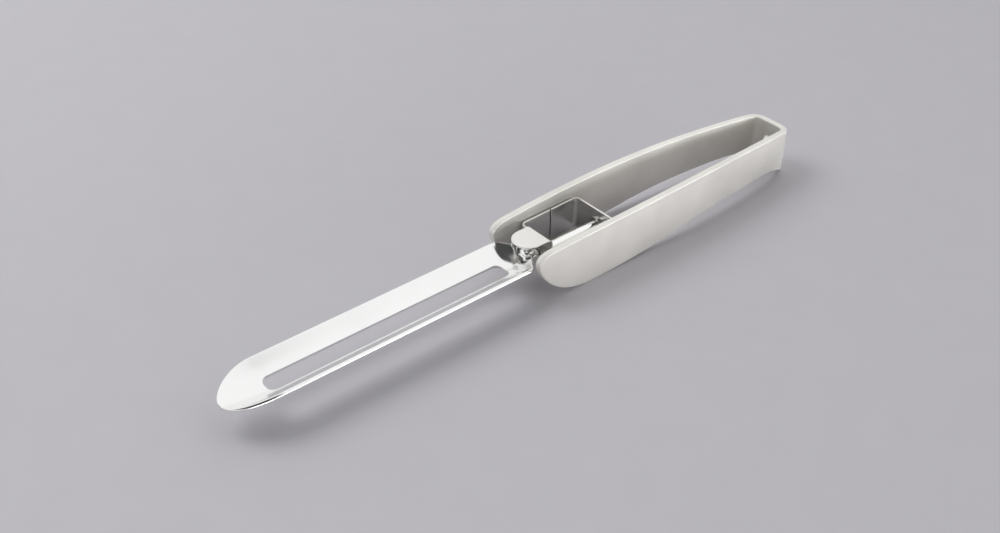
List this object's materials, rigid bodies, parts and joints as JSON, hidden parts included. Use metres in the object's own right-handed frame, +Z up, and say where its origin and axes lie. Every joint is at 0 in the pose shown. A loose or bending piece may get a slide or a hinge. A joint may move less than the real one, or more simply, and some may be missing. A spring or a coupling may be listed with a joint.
{
  "type": "swivel peeler",
  "caption": "Straight steel vegetable peeler: open U-shaped strip handle, bent sheet box with an axle, and a slotted trough blade with a scoop tip that swivels.",
  "frame": {"origin": "middle of the peeler's outline seen from above, on the surface it lies on", "axes": "+X from the blade's tip to the handle's rear end, +Y across to the far arm, +Z up"},
  "size_m": [0.1898, 0.0222, 0.0162],
  "materials": {
    "handle_steel": "satin",
    "box_steel": "satin",
    "blade_steel": "polished",
    "polished_steel": "polished",
    "bearing_steel": "machined"
  },
  "bodies": {
    "handle": {"handle_frame": "handle_steel", "swivel_box": "box_steel", "front_bush": "bearing_steel", "rear_bush": "bearing_steel"},
    "swivel": {"blade": "blade_steel", "axle": "polished_steel", "blade_rivet": "polished_steel", "rivet_washer": "bearing_steel", "front_washer": "bearing_steel", "rear_washer": "bearing_steel", "axle_clip": "bearing_steel"}
  },
  "joints": [
    {"name": "blade_swivel", "type": "hinge", "parent": "handle", "child": "swivel", "pos_m": [0.00089, 0, 0.0073], "axis": [1, 0, 0], "range_deg": [-30, 30]}
  ]
}
